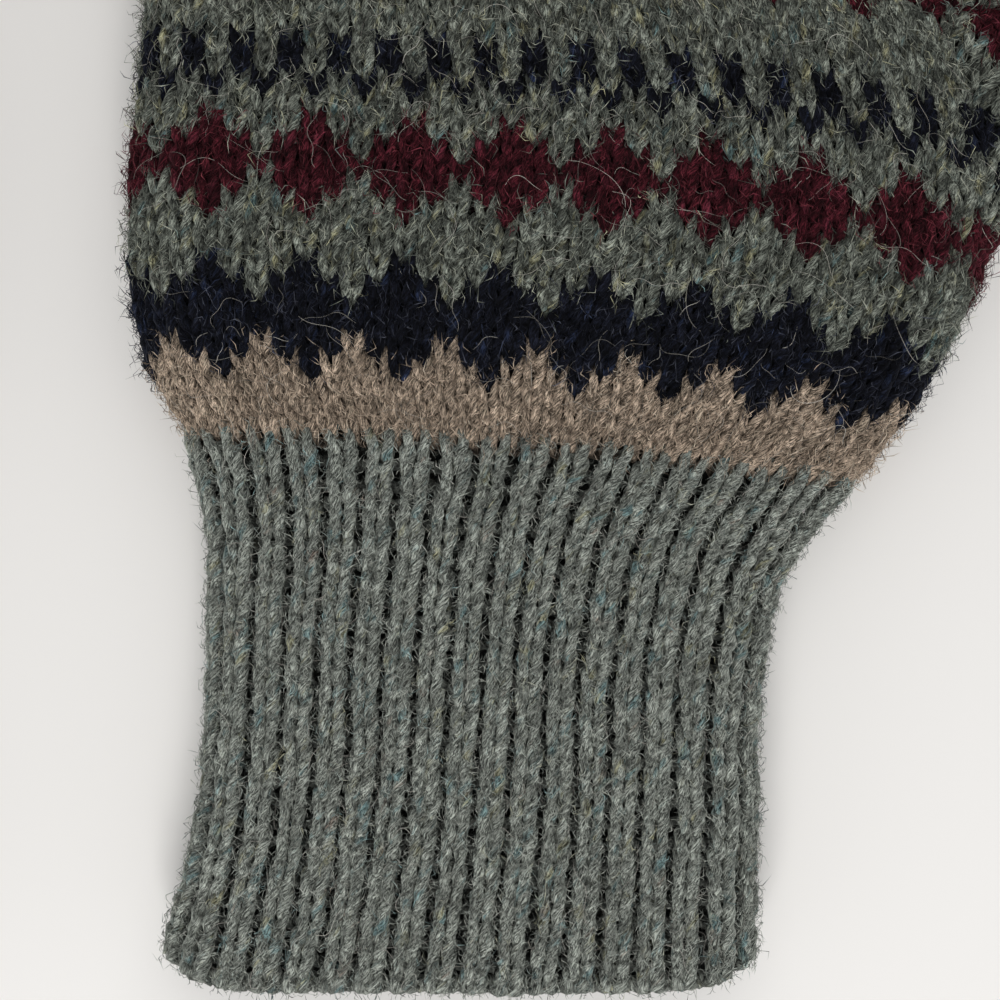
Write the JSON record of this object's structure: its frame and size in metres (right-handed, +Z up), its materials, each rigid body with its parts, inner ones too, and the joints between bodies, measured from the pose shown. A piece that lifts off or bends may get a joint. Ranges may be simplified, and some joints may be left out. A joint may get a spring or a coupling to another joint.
{
  "type": "knitted mittens",
  "caption": "Pair of hollow knitted wool mittens with ribbed cuffs, zigzag and striped colour bands, a thumb gusset and rounded tips, lying flat palm up.",
  "frame": {"origin": "under the middle of the pair, on the surface that it lies on", "axes": "+Y from the cuffs to the fingertips, +Z up from the surface through the backs to the palms, +X towards the right-hand mitten and its thumb"},
  "size_m": [0.337, 0.252, 0.019],
  "materials": {
    "green_wool": "heathered grey-green wool yarn with olive and teal flecks, stocking stitch, hairy",
    "rib_wool": "heathered grey-green wool yarn in one-by-one rib, hairy",
    "beige_wool": "heathered beige-brown wool yarn, stocking stitch, hairy",
    "navy_wool": "dark navy wool yarn, stocking stitch, hairy",
    "burgundy_wool": "dark burgundy wool yarn, stocking stitch, hairy"
  },
  "bodies": {
    "right_hand": {"right_beige_band": "beige_wool", "right_navy_zigzag_band": "navy_wool", "right_lower_green_band": "green_wool", "right_burgundy_band": "burgundy_wool", "right_checker_band": "green_wool", "right_knuckle_band": "burgundy_wool"},
    "right_cuff": {"right_cast_on_edge": "rib_wool", "right_ribbed_cuff": "rib_wool"},
    "right_fingers": {"right_finger_green_band": "green_wool", "right_finger_navy_band": "navy_wool", "right_finger_beige_band": "beige_wool", "right_finger_upper_navy_band": "navy_wool", "right_finger_burgundy_band": "burgundy_wool", "right_finger_tip": "green_wool"},
    "right_thumb": {"right_thumb_base_band": "green_wool", "right_thumb_beige_band": "beige_wool", "right_thumb_tip": "navy_wool"},
    "left_hand": {"left_beige_band": "beige_wool", "left_navy_zigzag_band": "navy_wool", "left_lower_green_band": "green_wool", "left_burgundy_band": "burgundy_wool", "left_checker_band": "green_wool", "left_knuckle_band": "burgundy_wool"},
    "left_cuff": {"left_cast_on_edge": "rib_wool", "left_ribbed_cuff": "rib_wool"},
    "left_fingers": {"left_finger_green_band": "green_wool", "left_finger_navy_band": "navy_wool", "left_finger_beige_band": "beige_wool", "left_finger_upper_navy_band": "navy_wool", "left_finger_burgundy_band": "burgundy_wool", "left_finger_tip": "green_wool"},
    "left_thumb": {"left_thumb_base_band": "green_wool", "left_thumb_beige_band": "beige_wool", "left_thumb_tip": "navy_wool"}
  },
  "joints": [
    {"name": "right_fingers_curl", "type": "hinge", "parent": "right_hand", "child": "right_fingers", "pos_m": [0.06, 0.02115, 0.01915], "axis": [1, 0, 0], "range_deg": [0, 90]},
    {"name": "right_thumb_fold", "type": "hinge", "parent": "right_hand", "child": "right_thumb", "pos_m": [0.13053, 0.01163, 0.01915], "axis": [0.866, -0.5, 0], "range_deg": [0, 90]},
    {"name": "right_wrist_bend", "type": "hinge", "parent": "right_hand", "child": "right_cuff", "pos_m": [0.06, -0.0525, 0.0153], "axis": [-1, 0, 0], "range_deg": [0, 80]},
    {"name": "left_fingers_curl", "type": "hinge", "parent": "left_hand", "child": "left_fingers", "pos_m": [-0.06, 0.02115, 0.01915], "axis": [1, 0, 0], "range_deg": [0, 90]},
    {"name": "left_thumb_fold", "type": "hinge", "parent": "left_hand", "child": "left_thumb", "pos_m": [-0.13053, 0.01163, 0.01915], "axis": [0.866, 0.5, 0], "range_deg": [0, 90]},
    {"name": "left_wrist_bend", "type": "hinge", "parent": "left_hand", "child": "left_cuff", "pos_m": [-0.06, -0.0525, 0.0153], "axis": [-1, 0, 0], "range_deg": [0, 80]},
    {"name": "left_mitten_slide", "type": "slide", "parent": "right_hand", "child": "left_hand", "axis": [-1, 0, 0], "range_m": [-0.02, 0.15]}
  ]
}
